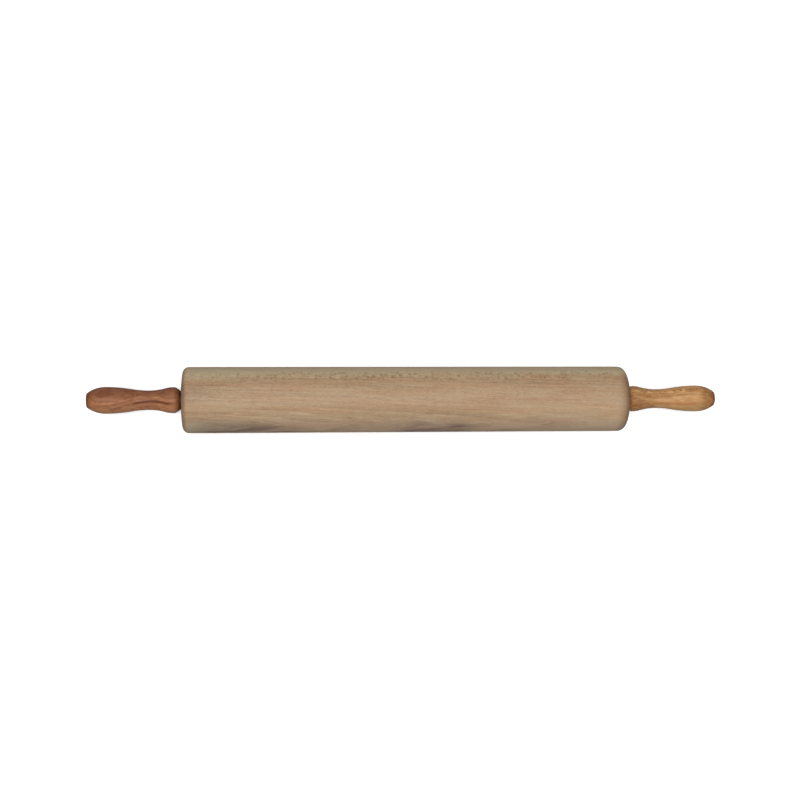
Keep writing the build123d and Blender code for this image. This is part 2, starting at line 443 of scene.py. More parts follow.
class Timber:
    """A piece of sawn beech about its pith, as it shows wherever the turner cuts through it."""

    # Lengths of its marks in millimetres: along the grain, out from the pith and round it
    GRAIN = (4.5, 0.8, 0.8)
    THREAD = (30, 0.9, 0.9)
    BAND = (170, 2.2, 15)
    CLOUD = (70, 9, 9)
    MOTTLE = (7, 3, 3)
    FLUSH = (60, 5, 9)
    YEAR_WAVER = (55, 5, 12)
    YEAR_BORDER = (110, 2, 9)
    RAY_CROWD = (26, 9, 9)
    RAY = (3.1, 3.4, 1.4)
    FINE_RAY = (2.6, 1.8, 0.6)

    # Lengths of the pith's two wanderings along X, Y and Z, and the second one's start along X
    SWAY, DRIFT, DRIFT_START = (130, 60, 60), (160, 55, 55), 1120

    # Where marks come up from nothing to full, in parts of a year, of a cell or of the noise
    LATE_WOOD, YEAR_END = (0.15, 0.92), (0.94, 1.0)
    PALE_LINE, DARK_LINE, DARK_LINE_PLACE = (0.0, 0.03), (0.0, 0.05), 0.07
    QUARTER_SAWN, CROWDED = (0.07, 0.28), (-0.22, 0.02)
    FLECK, FLECK_KIND, RAY_GAP, DASH = (0.26, 0.52), (0.1, 0.6), (0.55, 0.85), (0.15, 0.45)
    FLUSHED = (-0.18, 0.18)

    # Shade of the clean wood from pale, 0, to deep, 1, and how much paler it is between rays
    CLEAN_SHADE, GAP_PALER = 0.42, 0.25

    # How far the years waver, and how strong the faintest year and the dark border are
    YEAR_WAVERING, FAINTEST_YEAR, DARK_LINE_DEPTH = 0.5, 0.3, 0.5

    # Heights of the marks, in parts of the wood's relief
    GRAIN_HEIGHT, FLECK_HEIGHT, RING_HEIGHT, DASH_HEIGHT = 0.5, 0.3, -0.2, -0.15

    def __init__(self, finish, wood, box, pith, lean):
        self.finish, self.wood = finish, wood
        self.here = x, y, z = finish.places()
        self.x, self.y, self.z = x, y, z
        self.back = y / (across(box) / 2 / MM)
        sway = finish.noise(self.here, self.SWAY, detail=1.0)
        drift = finish.noise((x + self.DRIFT_START, y, z), self.DRIFT, detail=1.0)
        u = y - pith[0] - x * lean[0] + (sway - 0.5) * wood.sway
        v = z - pith[1] - x * lean[1] + (drift - 0.5) * wood.sway
        self.radial = (u * u + v * v) ** 0.5
        sideways = v.maths("ARCTAN2", v, u) * math.hypot(*pith)
        self.in_tree = (x, self.radial, sideways)
        reach = (y * y + z * z) ** 0.5
        self.flatness = ((y * u + z * v) / (reach * self.radial)).magnitude()

    def marks(self, lengths, detail=2.0, roughness=0.5):
        """Noise about 0 whose marks have these lengths along, out from and round the pith."""
        return self.finish.noise(self.in_tree, lengths, detail, roughness) - 0.5

    def rings(self):
        """Late wood of each year: dark, and ending sharply."""
        waver = self.marks(self.YEAR_WAVER, detail=1.0) * self.YEAR_WAVERING
        season = self.radial / self.wood.ring_width + waver
        late = season.part().stretch(self.LATE_WOOD, self.YEAR_END)
        chance = self.finish.chance(season.whole())
        return late * (self.FAINTEST_YEAR + chance * (1 - self.FAINTEST_YEAR))

    def borders(self):
        """Borders of the years where they run out: a thin pale line beside a dark one."""
        place = self.marks(self.YEAR_BORDER, detail=1.0)
        dark = (place - self.DARK_LINE_PLACE).line(*self.DARK_LINE)
        return dark * self.DARK_LINE_DEPTH - place.line(*self.PALE_LINE)

    def rays(self):
        """Flecks of the wide rays where the cut runs along them, and the pale wood between."""
        gap = self.finish.cells(self.in_tree, [reach * self.wood.ray_size for reach in self.RAY])
        kind = self.finish.node("ShaderNodeSeparateColor", None,
                                {"Color": gap.beside("Color")}, "Red")
        quarter_sawn = 1 - self.flatness.between(*self.QUARTER_SAWN)
        crowd = self.marks(self.RAY_CROWD, detail=1.0).between(*self.CROWDED) * quarter_sawn
        flecks = (1 - gap.between(*self.FLECK)) * kind.between(*self.FLECK_KIND) * crowd
        return flecks, gap.between(*self.RAY_GAP) * crowd

    def dashes(self):
        """Ends of the fine rays, as short dashes."""
        return 1 - self.finish.cells(self.in_tree, self.FINE_RAY).between(*self.DASH)

    def look(self, side, busy=1.0, flecked=1.0):
        """Colour of the clean wood, and its height for the bump. Lines show where it is busy."""
        wood, finish = self.wood, self.finish
        rings, dashes = self.rings(), self.dashes()
        flecks, between = self.rays()
        grain = self.marks(self.GRAIN, roughness=0.6)
        threads = self.marks(self.THREAD, roughness=0.6)
        lines = (rings * wood.ring_depth + threads * wood.thread_depth
                 + self.borders() * wood.line_depth)
        shade = (self.CLEAN_SHADE + lines * busy + dashes * wood.dash_depth + side * wood.tilt
                 + self.marks(self.BAND, roughness=0.55) * wood.band_depth
                 + self.marks(self.CLOUD) * wood.cloud_depth
                 + self.marks(self.MOTTLE) * wood.mottle_depth
                 + grain * wood.grain_depth - between * self.GAP_PALER)
        stops = [(0.0, wood.pale), (0.5, wood.middle), (1.0, wood.deep)]
        tone = finish.node("ShaderNodeValToRGB", {"stops": stops}, {"Fac": shade}, "Color")
        flush = self.marks(self.FLUSH).between(*self.FLUSHED)
        tone = finish.blend(flush * wood.flush_depth, tone, wood.flush, "MULTIPLY")
        tone = finish.blend(flecks * wood.ray_depth * flecked, tone, wood.ray)
        height = (grain * self.GRAIN_HEIGHT + flecks * self.FLECK_HEIGHT
                  + rings * self.RING_HEIGHT + dashes * self.DASH_HEIGHT)
        return tone, height


def near_end(out, box, zone):
    """1 at a box's outer end, coming up over this zone of millimetres in from it."""
    return out.between(*(box[1].x / MM - depth for depth in zone))


# Sizes and colours that a user would change


def length(name, description, default):
    return FloatProperty(name=name, description=description, default=default, min=0,
                         subtype="DISTANCE", unit="LENGTH", precision=5)


def share(name, description, default):
    return FloatProperty(name=name, description=description, default=default, min=0, max=1,
                         subtype="FACTOR")


def colour(name, description, *steps):
    return FloatVectorProperty(name=name, description=description, default=srgb(*steps),
                               min=0, max=1, size=3, subtype="COLOR")


def amount(name, description, default):
    return FloatProperty(name=name, description=description, default=default)


def angle(name, description, degrees):
    return FloatProperty(name=name, description=description, default=math.radians(degrees),
                         subtype="ANGLE", unit="ROTATION")


def count(name, description, default, least):
    return IntProperty(name=name, description=description, default=default, min=least)


class BarrelSizes(bpy.types.PropertyGroup):
    """Sizes of the barrel that its box doesn't give."""

    edge_radius: length("Rim radius", "Rounding of the barrel's right rim", 7 * MM)
    left_edge_radius: length("Left rim radius", "Rounding of the left rim, sanded less", 6 * MM)
    edge_steps: count("Rim steps", "Facets across a rim", 16, 2)
    bore: length("Bore", "Diameter of the hole from end to end", 12 * MM)
    bush_body: length("Bush seat", "Diameter of the bush's seat", 16.02 * MM)
    flange_thickness: length("Flange", "Thickness of the bush's flange", 1.5 * MM)
    mouth_chamfer: length("Mouth chamfer", "Chamfer round the bush's flange", 0.4 * MM)
    facets: count("Facets", "Facets round the barrel", 192, 12)


class HandleSizes(bpy.types.PropertyGroup):
    """Sizes of the handle that its box doesn't give."""

    face: length("Face", "Diameter of the inner face", 19.4 * MM)
    collar: length("Collar", "Diameter of the collar's crest", 25.7 * MM)
    waist: length("Waist", "Diameter of the narrowest place", 19 * MM)
    tip: length("Tip", "Diameter of the blunt tip", 13.8 * MM)
    tip_edge: length("Tip edge", "Rounding of the tip's edge", 0.9 * MM)
    screw_hole: length("Screw hole", "Diameter of the hole for the screw", 5.4 * MM)
    brow_place: share("Brow place", "Where the bevel meets the collar's crest", 0.037)
    brow_width: share("Brow width", "Width there, of the collar's", 0.928)
    collar_place: share("Collar place", "Place of the crest, of the handle's length", 0.07)
    waist_place: share("Waist place", "Place of the waist", 0.339)
    grip_place: share("Grip place", "Place of the widest part of the grip", 0.803)
    shoulder_place: share("Shoulder place", "Where the tip starts to close", 0.894)
    shoulder_width: share("Shoulder width", "Width there, of the grip's", 0.911)
    collar_curve: share("Collar curve", "How soon the collar's curve turns", 0.325)
    grip_curve: share("Grip curve", "How soon the grip's curve turns", 0.375)
    facets: count("Facets", "Facets round a handle", 128, 12)


# Colours of the woods of the barrel, the left handle and the right handle, where they have them
WOOD_COLOURS = (
    ("pale", "Pale wood", "Lightest wood", (190, 164, 132), (178, 128, 92), (210, 168, 118)),
    ("middle", "Middle wood", "Most wood", (168, 142, 112), (148, 101, 71), (174, 133, 88)),
    ("deep", "Deep wood", "Darkest wood", (130, 104, 82), (116, 72, 50), (136, 90, 56)),
    ("ray", "Ray flecks", "Where rays meet the surface", (132, 90, 68), (112, 58, 42),
     (126, 74, 44)),
    # The end grain tint also paints shade: on the barrel's rims, and by the handles' inner faces
    # and tips
    ("end_grain", "End grain", "Tint where the cut crosses the grain", (172, 154, 142),
     (185, 160, 150), (200, 172, 156)),
    # The next tint is a painted sheen: a greyer band where a grazing reflection would show on the
    # back
    ("grey_side", "Grey side", "Tint of the greyer side", (238, 254, 255), None, None),
    ("heart_side", "Heart side", "Tint nearest the heart", (198, 193, 203), None, None),
    ("flush", "Flush", "Tint of the pinker stretches", (255, 238, 230), (255, 236, 226),
     (255, 240, 226)),
    # The next tint is a painted sheen too: a paler, greyer front where a grazing reflection would
    # show
    ("dust", "Flour dust", "Left in the grain of the front", (174, 172, 168), None, None),
    ("streak", "Streak", "Colour of the mineral streak", None, (88, 42, 28), (172, 108, 66)),
)

# Sizes and strengths of the marks in the same three woods
WOOD_MARKS = (
    ("ring_width", "Ring width", "Growth in a year, in millimetres", 3.4, 3.2, 3.2),
    ("ray_size", "Ray size", "Size of the flecks, 1 for usual beech", 1.15, 0.9, 0.95),
    ("sway", "Sway", "How far the rings wander, in millimetres", 7.0, 3.0, 3.0),
    ("ring_depth", "Rings", "Strength of the rings", 0.2, 0.25, 0.15),
    ("band_depth", "Bands", "Strength of the long soft bands", 0.42, 0.7, 0.4),
    ("thread_depth", "Threads", "Strength of the long threads", 0.45, 0.8, 0.4),
    ("line_depth", "Lines", "Strength of the years' borders", 0.2, 0.15, 0.1),
    ("tilt", "Tilt", "How much darker the wood is on its far side", 0.24, 0.5, 0.1),
    ("cloud_depth", "Clouds", "Strength of the broad clouds", 0.22, 0.5, 0.5),
    ("mottle_depth", "Mottle", "Strength of the small blotches", 0.25, 0.6, 0.7),
    ("grain_depth", "Grain", "Strength of the fine grain", 0.65, 0.6, 0.5),
    ("dash_depth", "Dashes", "Strength of the fine rays' ends", 0.2, 0.1, 0.1),
    ("ray_depth", "Rays", "Strength of the large flecks", 0.6, 0.5, 0.72),
    ("flush_depth", "Flush", "Strength of the pinker stretches", 0.65, 0.5, 0.5),
)


def wood_look(title, column):
    """A PropertyGroup of the wood in one column of the tables."""
    fields = {name: colour(label, note, *steps[column])
              for name, label, note, *steps in WOOD_COLOURS if steps[column]}
    fields |= {name: amount(label, note, values[column])
               for name, label, note, *values in WOOD_MARKS}
    return type(title, (bpy.types.PropertyGroup,), {"__annotations__": fields})


BarrelWood = wood_look("BarrelWood", 0)
LeftHandleWood = wood_look("LeftHandleWood", 1)
RightHandleWood = wood_look("RightHandleWood", 2)


class FittingColours(bpy.types.PropertyGroup):
    """Colours of the pieces inside the pin."""

    steel: colour("Drawn steel", "Bright axle rod", 176, 178, 181)
    zinc: colour("Zinc", "Plated washers", 186, 189, 194)
    # The thrust washers' dark brown is partly their own and partly painted shade for the gap
    # between handle and barrel
    oiled: colour("Oiled steel", "Dark thrust washers", 48, 34, 26)
    spring: colour("Spring steel", "Oiled lock washers", 92, 90, 92)
    black: colour("Blackened steel", "Handle screws", 52, 52, 56)
    nylon: colour("Nylon", "Moulded bushes", 196, 188, 170)


class StageSizes(bpy.types.PropertyGroup):
    """Camera, floor and lights."""

    distance: length("Camera distance", "From the camera to the pin's middle", 1.283)
    swing: angle("Swing", "How far the camera stands towards the left end", 4.99)
    height: angle("Elevation", "Camera's height above the horizon", 90)
    roll: angle("Roll", "How far the pin rises to the right in the picture", 0.19)
    focal: FloatProperty(name="Focal length", description="Camera's focal length", default=58.03,
                         subtype="DISTANCE_CAMERA", unit="CAMERA")
    centre: FloatVectorProperty(name="Pin's place", size=2, default=(406.47, 399.4),
                                description="Pixel of the picture at which the pin's middle shows")
    floor: colour("Floor", "Colour of the floor", 247, 247, 246)
    floor_glow: amount("Floor glow", "Light that the floor gives, as a lit table does", 0.3)
    bounce: share("Bounce", "How much of its light the floor throws back at the pin", 0.4)
    floor_size: length("Floor size", "Side of the square floor", 40)
    key: amount("Key light", "Brightness of the large soft light above the camera", 0.85)
    key_spread: angle("Key spread", "How large the key light looks", 16)
    side: amount("Side light", "Brightness of the low soft light from behind", 0.2)
    side_height: angle("Side light's height", "Its height above the floor", 45)
    side_spread: angle("Side spread", "How large the side light looks", 50)
    room: amount("Room light", "Strength of the light from all round", 0.12)


# Finishes of the hidden fittings


def worked_metal(name, tint, roughness, marks):
    """Metal with tool marks or crystals of these lengths in millimetres, and faint stains."""
    finish = Finish(name)
    here = finish.places()
    tracks = finish.noise(here, marks, detail=3.0, roughness=0.6)
    stains = finish.noise(here, STAIN, detail=4.0, roughness=0.6)
    stained = tuple(c * STAIN_DARKENING for c in tint)
    finish.set(Base_Color=finish.blend(stains.between(*STAIN_EDGE), tuple(tint), stained),
               Metallic=1.0, Roughness=roughness + (tracks - 0.5) * TRACK_ROUGHNESS
               + (stains - 0.5) * STAIN_ROUGHNESS)
    finish.bump(tracks, METAL_RELIEF)
    return finish.material


def moulded_nylon(tint):
    """Milky plastic with a faint flow pattern and a fine eggshell skin."""
    finish = Finish("moulded_nylon")
    here = finish.places()
    flow, skin = finish.noise(here, NYLON_FLOW), finish.noise(here, NYLON_SKIN)
    yellower = tuple(c * kept for c, kept in zip(tint, NYLON_YELLOWING))
    finish.set(Base_Color=finish.blend(flow.between(*FLOW_EDGE), tuple(tint), yellower),
               Roughness=0.42 + (skin - 0.5) * SKIN_ROUGHNESS, Subsurface_Weight=0.1)
    finish.bump(skin, NYLON_RELIEF)
    return finish.material


def dress(node, material):
    """Gives a node of the frame its material."""
    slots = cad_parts[node].data.materials
    slots.clear()
    slots.append(material)


# Operators


class TURNED_OT_barrel(bpy.types.Operator):
    """Turn the barrel from bare, sanded beech"""

    bl_idname = "rolling_pin.barrel"
    bl_label = "Barrel"

    # Changes near an end of the barrel, in millimetres in from it: where each one starts, and
    # where it is complete
    # The grey corner at the left is painted sheen, and the darkened rims are end grain with
    # painted shade
    LEFT_GREY_CORNER = (34, 12)
    LEFT_FEWER_FLECKS, LEFT_DARKER, LEFT_RUBBED = (72, 30), (55, 0), (6, 1.5)
    RIGHT_PALER, RIGHT_RUBBED = (150, 105), (14, -2)

    # Changes round the barrel, as shares of its radius towards the back or the front
    # The grey back and the grey front corner are painted sheen, and so is the paler, greyer front
    GREY_BACK, GREY_FRONT = (0.58, 0.86), (0.5, 0.85)
    DARKER_PLACE, DARKER_REACH = 0.2, (0, 0.42)
    PALER_FRONT, BUSY_FRONT, DUSTY_FRONT = (0, 0.35), (0.1, 0.6), (0.35, 0.85)
    HEART_FRONT, UNRUBBED_BACK = (0.6, 0.92), (0.4, 0.9)

    # Where the back's painted sheen and the heartwood come up from the underside, in millimetres
    # along Z
    GREY_RISE, HEART_RISE = (-30, 12), (-8, 11)

    # Patches of heartwood: the middle's place along the barrel and the reach, in millimetres
    HEART_PATCHES = ((-156, 70), (27, 50))
    PATCH_EDGE, STREAK_EDGE, FAINTEST_STREAK = (0.3, 1), (-0.14, 0.1), 0.3

    # How far each change goes: in shade, in parts of the wood's tilt, and then in the mixes
    GREY_SHADE, LEFT_SHADE, RIGHT_SHADE = -2.1, 1.2, -0.7
    CORNER_GREYNESS, DUSTINESS, FLECKS_LOST = 0.8, 0.12, 0.7
    LEFT_RUB, BACK_SPARED = 0.6, 0.7
    LEAST_BUSY, BUSIER_BY = 0.6, 0.9

    # Lengths of the barrel's own marks, as in Timber, and of the sanding along X, Y and Z
    EDGE_WAVER, GREY_FRINGE, HEART_FRINGE = (60, 12, 12), (9, 2, 4), (50, 6, 6)
    HEART_STREAK, SHEEN, SANDING = (90, 1.3, 8), (12, 4, 4), (0.4, 9, 9)

    # How far they move an edge, as shares of the radius, and how far they show in the finish
    EDGE_WAVERING, GREY_WAVERING, HEART_WAVERING, LEFT_GREYER = 0.15, 0.25, 0.3, 0.08
    SHEEN_DEPTH, SANDING_HEIGHT = 0.2, 0.15

    def execute(self, context):
        sizes, wood = context.scene.pin_barrel, context.scene.pin_barrel_wood
        material = self.sanded_beech(wood)
        piece = turned_piece("beech_barrel", barrel_outline(sizes), sizes.facets, material)
        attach(piece, "barrel")
        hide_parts("barrel")
        return {"FINISHED"}

    def sanded_beech(self, wood):
        """Bare beech: heartwood low in front, painted sheen back and front, end grain and painted
        shade on the rims.
        """
        finish = Finish("sanded_beech")
        timber = Timber(finish, wood, BARREL_BOX, *BARREL_CUT)
        back = timber.back + timber.marks(self.EDGE_WAVER) * self.EDGE_WAVERING
        front = -back
        tone, height = self.clean_wood(timber, back, front)
        # Painted sheen on the front: a paler, greyer mix over it
        dusty = front.between(*self.DUSTY_FRONT) * self.DUSTINESS
        tone = finish.blend(dusty, tone, wood.dust)
        tone = self.heartwood(timber, front, tone)
        # Rims darkened as end grain and by painted shade where they turn away from the light,
        # sparing the back of the right rim
        spared = back.between(*self.UNRUBBED_BACK) * self.BACK_SPARED
        rubbed = (near_end(timber.x, BARREL_BOX, self.RIGHT_RUBBED) * (1 - spared)
                  + near_end(-timber.x, BARREL_BOX, self.LEFT_RUBBED) * self.LEFT_RUB)
        tone = finish.blend(rubbed, tone, wood.end_grain, "MULTIPLY")
        sanding = finish.noise(timber.here, self.SANDING)
        finish.set(Base_Color=tone, Specular_IOR_Level=0.25,
                   Roughness=0.55 + timber.marks(self.SHEEN) * self.SHEEN_DEPTH)
        finish.bump(height + sanding * self.SANDING_HEIGHT, BARREL_RELIEF)
        return finish.material

    def clean_wood(self, timber, back, front):
        """Colour and height of the wood with painted sheen on its back, darker left and paler
        right end.
        """
        left_out = -timber.x
        plain = near_end(left_out, BARREL_BOX, self.LEFT_FEWER_FLECKS)
        # Painted sheen: a greyer, paler band along the back and at the front left corner, tinting
        # and lifting the wood
        corner = (near_end(left_out, BARREL_BOX, self.LEFT_GREY_CORNER)
                  * front.between(*self.GREY_FRONT))
        fringe = plain * self.LEFT_GREYER + timber.marks(self.GREY_FRINGE) * self.GREY_WAVERING
        grey = ((back + fringe).between(*self.GREY_BACK) * timber.z.between(*self.GREY_RISE)
                + corner * self.CORNER_GREYNESS)
        left = (near_end(left_out, BARREL_BOX, self.LEFT_DARKER)
                * (back - self.DARKER_PLACE).line(*self.DARKER_REACH))
        right = (near_end(timber.x, BARREL_BOX, self.RIGHT_PALER)
                 * front.between(*self.PALER_FRONT))
        side = (back + grey * self.GREY_SHADE + left * self.LEFT_SHADE
                + right * self.RIGHT_SHADE)
        busy = self.LEAST_BUSY + front.between(*self.BUSY_FRONT) * self.BUSIER_BY
        tone, height = timber.look(side, busy, 1 - plain * self.FLECKS_LOST)
        return timber.finish.blend(grey, tone, timber.wood.grey_side, "MULTIPLY"), height

    def heartwood(self, timber, front, tone):
        """The tone with dark patches low on the front, broken into streaks along the grain."""
        fringe = timber.marks(self.HEART_FRINGE) * self.HEART_WAVERING
        low = (front + fringe).between(*self.HEART_FRONT)
        streaks = timber.marks(self.HEART_STREAK).between(*self.STREAK_EDGE)
        stain = low * timber.z.between(*self.HEART_RISE) * (self.FAINTEST_STREAK + streaks)
        for middle, reach in self.HEART_PATCHES:
            patch = ((timber.x - middle) / reach).line(*self.PATCH_EDGE)
            tone = timber.finish.blend(patch * stain, tone, timber.wood.heart_side, "MULTIPLY")
        return tone


class TURNED_OT_handles(bpy.types.Operator):
    """Turn both handles and lacquer them, with their plugs"""

    bl_idname = "rolling_pin.handles"
    bl_label = "Handles"

    # Where the left wood darkens: out from the pin's middle, and towards the back
    LEFT_SHADE_OUT, LEFT_SHADE_BACK = (282, 300), (-1, 7)

    # The mineral streak: a leaning layer through the wood, and where it comes and goes along X
    STREAK_LEAN, STREAK_PLACE = (-0.045, 0.6, 0.8), 18.1
    STREAK_RISE, STREAK_FALL = (-270, -264), (-236, -224)
    STREAK_CORE, STREAK_BAND = (0.3, 1.1), (0.4, 2.4)

    # The flame lines by the grip, which climb towards the waist
    FLAME_CLIMB, FLAME_PLACE, FLAME_HEIGHT, FLAME_LINE = (-290, -268), 9, 5, (0.1, 1.1)
    FLAME_RISE, FLAME_FALL, FLAME_OFFSETS = (-290, -284), (-270, -262), (0, 3.8)

    # The right wood: browner collar, painted foot shadow, dark tip, paler front, painted grip
    # highlight
    # The foot's painted shadow: darker wood low on the front beside the barrel
    COLLAR_BROWN, FOOT_BROWN, FOOT_EDGE = (226, 262), (248, 258), (-1.5, 2.5)
    FOOT_START, FOOT_SLOPE = 236, 0.45
    PALER_FRONT, PALER_OUT = (0.1, 0.8), (246, 262)
    # The grip's painted highlight: paler wood along the back of the grip
    GRIP_RISE, GRIP_FALL, GRIP_BACK = (256, 272), (292, 300), (-4, 1)

    # The orange streak along the right grip
    GLOW_PLACE, GLOW_MIDDLE, GLOW_SLOPE, GLOW_LINE = 5.4, 275, 0.02, (0.3, 2.2)
    GLOW_RISE, GLOW_FALL = (244, 256), (286, 300)

    # Cut ends, with end grain and painted shade: millimetres in from the inner face, and in from
    # the tip
    FACE_CUT, TIP_CUT, TIP_DARK, TIP_EARLY_CUT = (0.5, 4), (6, 0), (19, 9), (16, 12)

    # How far each change goes: in shade, in parts of the wood's tilt, and then in the mixes
    BACK_SHADE, COLLAR_SHADE, FOOT_SHADE, TIP_SHADE = 0.3, 1.4, 1.6, 2.5
    FRONT_SHADE, GRIP_SHADE = -1.8, -0.8
    FLAME_DEPTH, BAND_DEPTH, CORE_DEPTH, GLOW_DEPTH, EARLY_CUT_DEPTH = 0.5, 0.35, 0.8, 0.6, 0.22

    # Lengths of the handles' own marks, as in Timber, and of tool marks, which vary along X only
    SIDE_WAVER, SHEEN, TURNING = (20, 5, 5), (6, 3, 3), (0.6, 1, 1)
    STREAK_WAVER, FLAME_WAVER, GLOW_WAVER = (14, 6, 6), (9, 4, 4), (18, 5, 5)

    # How far they move the sides, as a share of the radius, and the lines, in millimetres, and
    # how far they show in the finish
    SIDE_WAVERING, STREAK_WAVERING, FLAME_WAVERING, GLOW_WAVERING = 0.4, 1.2, 1.6, 1.5
    SHEEN_DEPTH, TURNING_HEIGHT = 0.2, 0.25

    def execute(self, context):
        scene = context.scene
        sizes = scene.pin_handle
        outline = handle_outline(sizes)
        for end, wood in zip(ENDS, (scene.pin_left_wood, scene.pin_right_wood)):
            material = self.lacquered_beech(end, wood)
            piece = turned_piece(end + "_turned_handle", outline, sizes.facets, material)
            if end == "left":
                piece.data.transform(Matrix.Rotation(math.pi, 4, "Z"))
            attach(piece, "axle_and_handles")
            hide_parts(end + "_handle")
            dress(end + "_end_plug", material)
        return {"FINISHED"}

    def lacquered_beech(self, end, wood):
        """Lacquered beech with this end's marks, and end grain and painted shade at its cuts."""
        finish = Finish(end + "_lacquered_beech")
        timber = Timber(finish, wood, HANDLE_BOX, *HANDLE_CUTS[end])
        back = timber.back + timber.marks(self.SIDE_WAVER) * self.SIDE_WAVERING
        face = HANDLE_BOX[0].x / MM
        out = timber.x.magnitude()
        # End grain at the cuts with painted shade: a contact shadow by the inner face and edge
        # shade at the tip
        cut = (1 - out.between(*(face + depth for depth in self.FACE_CUT))
               + near_end(out, HANDLE_BOX, self.TIP_CUT))
        if end == "left":
            tone, height = self.left_wood(timber, back, out)
        else:
            tone, height = self.right_wood(timber, back, out)
            cut += near_end(out, HANDLE_BOX, self.TIP_EARLY_CUT) * self.EARLY_CUT_DEPTH
        tone = finish.blend(cut, tone, wood.end_grain, "MULTIPLY")
        turning = finish.noise((timber.x, 0.5, 0.5), self.TURNING)
        finish.set(Base_Color=tone, Specular_IOR_Level=0.1, Coat_Weight=0.03, Coat_Roughness=0.35,
                   Roughness=0.5 + timber.marks(self.SHEEN) * self.SHEEN_DEPTH)
        finish.bump(height + turning * self.TURNING_HEIGHT, HANDLE_RELIEF)
        return finish.material

    def left_wood(self, timber, back, out):
        """Colour and height of the reddish wood, with its mineral streak and flame lines."""
        shade = out.between(*self.LEFT_SHADE_OUT) * timber.y.between(*self.LEFT_SHADE_BACK)
        tone, height = timber.look(back + shade * self.BACK_SHADE)
        return self.streak(timber, self.flames(timber, tone)), height

    def flames(self, timber, tone):
        """The tone with two curled lines that run from the grip towards the waist."""
        climb = timber.x.between(*self.FLAME_CLIMB) * self.FLAME_HEIGHT
        waver = timber.marks(self.FLAME_WAVER) * self.FLAME_WAVERING
        layer = timber.y + self.FLAME_PLACE - climb + waver
        stretch = timber.x.stretch(self.FLAME_RISE, self.FLAME_FALL)
        for offset in self.FLAME_OFFSETS:
            flame = (layer - offset).line(*self.FLAME_LINE) * stretch
            tone = timber.finish.blend(flame * self.FLAME_DEPTH, tone, timber.wood.ray)
        return tone

    def streak(self, timber, tone):
        """The tone with the dark mineral streak along the waist, in a reddish band."""
        along, backwards, upwards = self.STREAK_LEAN
        layer = (timber.y * backwards + timber.z * upwards + timber.x * along
                 - self.STREAK_PLACE + timber.marks(self.STREAK_WAVER) * self.STREAK_WAVERING)
        stretch = timber.x.stretch(self.STREAK_RISE, self.STREAK_FALL)
        band = layer.line(*self.STREAK_BAND) * stretch
        core = layer.line(*self.STREAK_CORE) * stretch
        tone = timber.finish.blend(band * self.BAND_DEPTH, tone, timber.wood.ray)
        return timber.finish.blend(core * self.CORE_DEPTH, tone, timber.wood.streak)

    def right_wood(self, timber, back, out):
        """Colour and height of the honey-coloured wood: darker ends, painted foot shadow and grip
        highlight, glow.
        """
        collar = 1 - out.between(*self.COLLAR_BROWN)
        # Painted shadow at the foot, low on the front beside the barrel
        slant = -timber.y - (timber.x - self.FOOT_START) * self.FOOT_SLOPE
        foot = slant.between(*self.FOOT_EDGE) * (1 - out.between(*self.FOOT_BROWN))
        end = near_end(out, HANDLE_BOX, self.TIP_DARK)
        front = (-timber.back).between(*self.PALER_FRONT) * out.between(*self.PALER_OUT)
        # Painted highlight: paler wood along the back of the grip
        grip = out.stretch(self.GRIP_RISE, self.GRIP_FALL) * timber.y.between(*self.GRIP_BACK)
        side = (back + collar * self.COLLAR_SHADE + foot * self.FOOT_SHADE
                + end * self.TIP_SHADE + front * self.FRONT_SHADE + grip * self.GRIP_SHADE)
        tone, height = timber.look(side)
        return self.glow(timber, tone), height

    def glow(self, timber, tone):
        """The tone with the soft orange streak along the grip."""
        layer = (timber.y + self.GLOW_PLACE + (timber.x - self.GLOW_MIDDLE) * self.GLOW_SLOPE
                 + timber.marks(self.GLOW_WAVER) * self.GLOW_WAVERING)
        glow = layer.line(*self.GLOW_LINE) * timber.x.stretch(self.GLOW_RISE, self.GLOW_FALL)
        return timber.finish.blend(glow * self.GLOW_DEPTH, tone, timber.wood.streak)


class TURNED_OT_fittings(bpy.types.Operator):
    """Finish the axle rod, bushes, washers and screws inside the pin"""

    bl_idname = "rolling_pin.fittings"
    bl_label = "Fittings"

    def execute(self, context):
        tints = context.scene.pin_fittings
        drawn = worked_metal("drawn_steel", tints.steel, roughness=0.28, marks=(40, 0.25, 0.25))
        zinc = worked_metal("zinc_plate", tints.zinc, roughness=0.4, marks=(1.5, 1.5, 1.5))
        spring = worked_metal("oiled_spring_steel", tints.spring, roughness=0.35,
                              marks=(1, 0.4, 0.4))
        black = worked_metal("blackened_steel", tints.black, roughness=0.45, marks=(0.8, 0.8, 0.8))
        # Dark brown thrust washers: their own dark finish, and painted shade for the gap they sit
        # in
        oiled = worked_metal("oiled_black_steel", tints.oiled, roughness=0.55, marks=(1, 1, 1))
        nylon = moulded_nylon(tints.nylon)
        dress("axle_rod", drawn)
        for end in ENDS:
            dress(end + "_bush", nylon)
            dress(end + "_thrust_washer", oiled)
            dress(end + "_screw_washer", zinc)
            dress(end + "_lock_washer", spring)
            dress(end + "_handle_screw", black)
        return {"FINISHED"}


